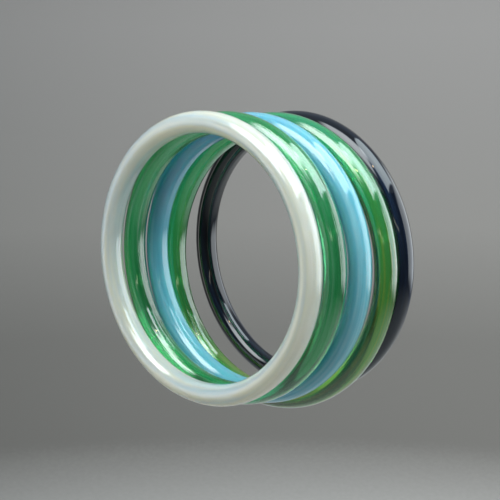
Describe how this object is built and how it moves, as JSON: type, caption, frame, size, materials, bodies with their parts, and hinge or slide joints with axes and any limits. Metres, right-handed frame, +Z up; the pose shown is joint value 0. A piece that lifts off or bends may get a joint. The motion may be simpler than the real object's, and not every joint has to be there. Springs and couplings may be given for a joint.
{
  "type": "bangle bracelet set",
  "caption": "Row of plain glass bangles hanging side by side, each a closed ring of oval section that slides along the row by itself.",
  "frame": {"origin": "centre of the front (opal white) bangle's opening, midway along its inside land", "axes": "+Y along the row, from the front bangle to the back one and along the front bangle's own axis; +Z up as the set hangs"},
  "size_m": [0.0833, 0.0368, 0.0793],
  "materials": {
    "opal_white_glass": "translucent milk glass, fire polished",
    "emerald_green_glass": "clear bottle green glass, fire polished",
    "sky_blue_glass": "opaque turquoise glass with faint streaks, fire polished",
    "olive_green_glass": "clear green glass with an amber tint, fire polished",
    "midnight_blue_glass": "near-black navy glass, fire polished"
  },
  "bodies": {
    "bangle_opal_white": {"bangle_opal_white": "opal_white_glass"},
    "bangle_emerald_green": {"bangle_emerald_green": "emerald_green_glass"},
    "bangle_sky_blue": {"bangle_sky_blue": "sky_blue_glass"},
    "bangle_olive_green": {"bangle_olive_green": "olive_green_glass"},
    "bangle_midnight_blue": {"bangle_midnight_blue": "midnight_blue_glass"}
  },
  "joints": [
    {"name": "emerald_green_slide", "type": "slide", "parent": "bangle_opal_white", "child": "bangle_emerald_green", "axis": [0, 1, 0], "range_m": [0, 0.025]},
    {"name": "sky_blue_slide", "type": "slide", "parent": "bangle_emerald_green", "child": "bangle_sky_blue", "axis": [0, 1, 0], "range_m": [0, 0.025]},
    {"name": "olive_green_slide", "type": "slide", "parent": "bangle_sky_blue", "child": "bangle_olive_green", "axis": [0, 1, 0], "range_m": [0, 0.025]},
    {"name": "midnight_blue_slide", "type": "slide", "parent": "bangle_olive_green", "child": "bangle_midnight_blue", "axis": [0, 1, 0], "range_m": [0, 0.025]}
  ]
}
